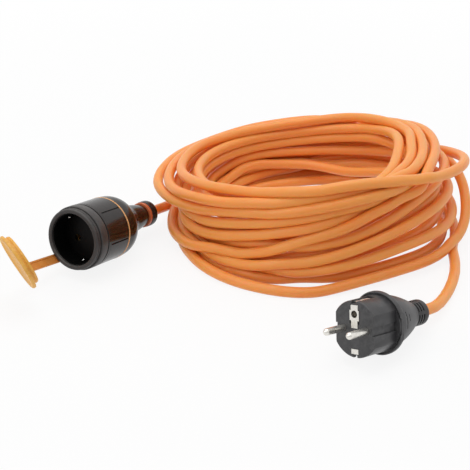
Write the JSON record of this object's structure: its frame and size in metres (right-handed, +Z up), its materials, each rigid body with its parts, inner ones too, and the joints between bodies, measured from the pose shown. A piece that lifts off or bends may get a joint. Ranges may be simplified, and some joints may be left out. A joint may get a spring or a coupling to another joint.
{
  "type": "extension cord",
  "caption": "Coiled heavy-duty extension cord with an earthed two-pin plug and a round earthed coupler whose mouth has a tethered closing cap and whose cord entry is clamped by a union nut.",
  "frame": {"origin": "on the floor under the middle of the whole lay-out, which lies on the floor", "axes": "+Z up; +X to the right and +Y away as the coupler and the plug face the viewer, with the coil behind them"},
  "size_m": [0.3509, 0.3509, 0.084],
  "materials": {
    "cord_orange": "satin rubber sheath",
    "cap_orange": "soft moulded plastic, satin",
    "strap_orange": "soft moulded plastic, satin",
    "accent_orange": "satin plastic",
    "collar_grey": "matt soft plastic",
    "grip_black": "glossy moulded plastic",
    "insert_black": "hard moulded plastic, semi-gloss",
    "plug_rubber": "matt rubber",
    "relief_rubber": "matt rubber",
    "inner_plastic": "moulded plastic",
    "nickel": "nickel plated, slightly brushed",
    "brass": "machined",
    "core_brown": "insulation",
    "core_blue": "insulation",
    "core_green": "insulation, green with a yellow stripe"
  },
  "bodies": {
    "cord_body": {"cord_coil": "cord_orange", "cord_run_coupler": "cord_orange", "cord_run_plug": "cord_orange", "coupler_collar": "collar_grey", "contact_insert": "insert_black", "contact_tube_live": "brass", "contact_tube_neutral": "brass", "earth_bracket": "nickel", "terminal_screws": "nickel", "tether_band": "cap_orange", "grip_shell": "grip_black", "accent_ring": "accent_orange", "rear_cover": "grip_black", "gland_ring": "accent_orange", "gland_bush": "relief_rubber", "gland_washer": "nickel", "coupler_core_live": "core_brown", "coupler_core_neutral": "core_blue", "coupler_core_earth": "core_green", "plug_front": "plug_rubber", "plug_rear": "plug_rubber", "plug_bridge": "inner_plastic", "plug_pin_live": "nickel", "plug_pin_neutral": "nickel", "earth_strip": "nickel", "earth_sleeve": "nickel", "plug_crimps": "brass", "strain_relief": "relief_rubber", "plug_core_live": "core_brown", "plug_core_neutral": "core_blue", "plug_core_earth": "core_green"},
    "strap": {"cap_strap": "strap_orange"},
    "cap": {"mouth_cap": "cap_orange"},
    "nut": {"union_nut": "grip_black"}
  },
  "joints": [
    {"name": "strap_hinge", "type": "hinge", "parent": "cord_body", "child": "strap", "pos_m": [-0.14271, -0.02382, 0.01095], "axis": [0.591, -0.4891, -0.6415], "range_deg": [-8, 100], "stiffness_Nm_per_rad": 0.15},
    {"name": "cap_hinge", "type": "hinge", "parent": "strap", "child": "cap", "pos_m": [-0.16432, -0.06227, 0.02035], "axis": [0.591, -0.4891, -0.6415], "range_deg": [-45, 130], "stiffness_Nm_per_rad": 0.1},
    {"name": "nut_turn", "type": "hinge", "parent": "cord_body", "child": "nut", "pos_m": [-0.08072, 0.044, 0.01634], "axis": [-0.5234, -0.8376, 0.1564], "continuous": true}
  ]
}
